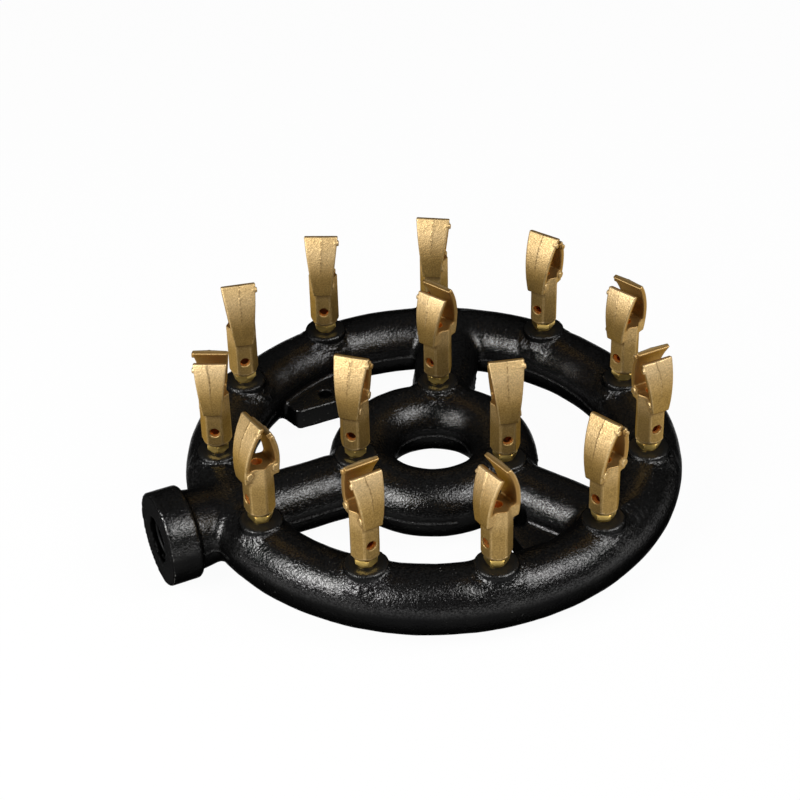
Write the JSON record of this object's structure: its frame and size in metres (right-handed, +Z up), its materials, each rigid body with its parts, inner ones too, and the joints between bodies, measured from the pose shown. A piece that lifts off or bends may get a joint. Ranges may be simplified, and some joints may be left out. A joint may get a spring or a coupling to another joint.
{
  "type": "jet burner",
  "caption": "Cast iron gas ring burner with an outer and an inner ring of brass jet heads, fed through a threaded inlet at its side.",
  "frame": {"origin": "centre of the gas inlet's mouth, on the plane of the tubes' axes", "axes": "+X runs from the inlet's mouth to the middle of the rings, +Z is up, where the jets point"},
  "size_m": [0.2722, 0.2494, 0.1003],
  "materials": {
    "black_iron": "sand cast iron under black semi-gloss paint",
    "orifice_brass": "turned bright brass",
    "head_brass": "as-cast brass, grainy"
  },
  "bodies": {
    "burner_casting": {"manifold": "black_iron", "outer_jet_orifice_01": "orifice_brass", "outer_jet_orifice_02": "orifice_brass", "outer_jet_orifice_03": "orifice_brass", "outer_jet_orifice_04": "orifice_brass", "outer_jet_orifice_05": "orifice_brass", "outer_jet_orifice_06": "orifice_brass", "outer_jet_orifice_07": "orifice_brass", "outer_jet_orifice_08": "orifice_brass", "outer_jet_orifice_09": "orifice_brass", "outer_jet_orifice_10": "orifice_brass", "outer_jet_orifice_11": "orifice_brass", "inner_jet_orifice_01": "orifice_brass", "inner_jet_orifice_02": "orifice_brass", "inner_jet_orifice_03": "orifice_brass"},
    "outer_jet_head_01": {"outer_jet_head_01": "head_brass"},
    "outer_jet_head_02": {"outer_jet_head_02": "head_brass"},
    "outer_jet_head_03": {"outer_jet_head_03": "head_brass"},
    "outer_jet_head_04": {"outer_jet_head_04": "head_brass"},
    "outer_jet_head_05": {"outer_jet_head_05": "head_brass"},
    "outer_jet_head_06": {"outer_jet_head_06": "head_brass"},
    "outer_jet_head_07": {"outer_jet_head_07": "head_brass"},
    "outer_jet_head_08": {"outer_jet_head_08": "head_brass"},
    "outer_jet_head_09": {"outer_jet_head_09": "head_brass"},
    "outer_jet_head_10": {"outer_jet_head_10": "head_brass"},
    "outer_jet_head_11": {"outer_jet_head_11": "head_brass"},
    "inner_jet_head_01": {"inner_jet_head_01": "head_brass"},
    "inner_jet_head_02": {"inner_jet_head_02": "head_brass"},
    "inner_jet_head_03": {"inner_jet_head_03": "head_brass"}
  },
  "joints": [
    {"name": "outer_jet_turn_01", "type": "hinge", "parent": "burner_casting", "child": "outer_jet_head_01", "pos_m": [0.04384, -0.02848, 0.0188], "axis": [0, 0, 1], "range_deg": [-180, 180]},
    {"name": "outer_jet_turn_02", "type": "hinge", "parent": "burner_casting", "child": "outer_jet_head_02", "pos_m": [0.0757, -0.08, 0.0188], "axis": [0, 0, 1], "range_deg": [-180, 180]},
    {"name": "outer_jet_turn_03", "type": "hinge", "parent": "burner_casting", "child": "outer_jet_head_03", "pos_m": [0.13035, -0.10612, 0.0188], "axis": [0, 0, 1], "range_deg": [-180, 180]},
    {"name": "outer_jet_turn_04", "type": "hinge", "parent": "burner_casting", "child": "outer_jet_head_04", "pos_m": [0.19044, -0.09855, 0.0188], "axis": [0, 0, 1], "range_deg": [-180, 180]},
    {"name": "outer_jet_turn_05", "type": "hinge", "parent": "burner_casting", "child": "outer_jet_head_05", "pos_m": [0.23691, -0.05969, 0.0188], "axis": [0, 0, 1], "range_deg": [-180, 180]},
    {"name": "outer_jet_turn_06", "type": "hinge", "parent": "burner_casting", "child": "outer_jet_head_06", "pos_m": [0.25498, -0.00188, 0.0188], "axis": [0, 0, 1], "range_deg": [-180, 180]},
    {"name": "outer_jet_turn_07", "type": "hinge", "parent": "burner_casting", "child": "outer_jet_head_07", "pos_m": [0.23894, 0.05653, 0.0188], "axis": [0, 0, 1], "range_deg": [-180, 180]},
    {"name": "outer_jet_turn_08", "type": "hinge", "parent": "burner_casting", "child": "outer_jet_head_08", "pos_m": [0.19386, 0.09699, 0.0188], "axis": [0, 0, 1], "range_deg": [-180, 180]},
    {"name": "outer_jet_turn_09", "type": "hinge", "parent": "burner_casting", "child": "outer_jet_head_09", "pos_m": [0.13406, 0.10666, 0.0188], "axis": [0, 0, 1], "range_deg": [-180, 180]},
    {"name": "outer_jet_turn_10", "type": "hinge", "parent": "burner_casting", "child": "outer_jet_head_10", "pos_m": [0.07853, 0.08246, 0.0188], "axis": [0, 0, 1], "range_deg": [-180, 180]},
    {"name": "outer_jet_turn_11", "type": "hinge", "parent": "burner_casting", "child": "outer_jet_head_11", "pos_m": [0.0449, 0.03208, 0.0188], "axis": [0, 0, 1], "range_deg": [-180, 180]},
    {"name": "inner_jet_turn_01", "type": "hinge", "parent": "burner_casting", "child": "inner_jet_head_01", "pos_m": [0.10501, -0.00104, 0.0188], "axis": [0, 0, 1], "range_deg": [-180, 180]},
    {"name": "inner_jet_turn_02", "type": "hinge", "parent": "burner_casting", "child": "inner_jet_head_02", "pos_m": [0.16964, -0.03628, 0.0188], "axis": [0, 0, 1], "range_deg": [-180, 180]},
    {"name": "inner_jet_turn_03", "type": "hinge", "parent": "burner_casting", "child": "inner_jet_head_03", "pos_m": [0.16784, 0.03731, 0.0188], "axis": [0, 0, 1], "range_deg": [-180, 180]}
  ]
}
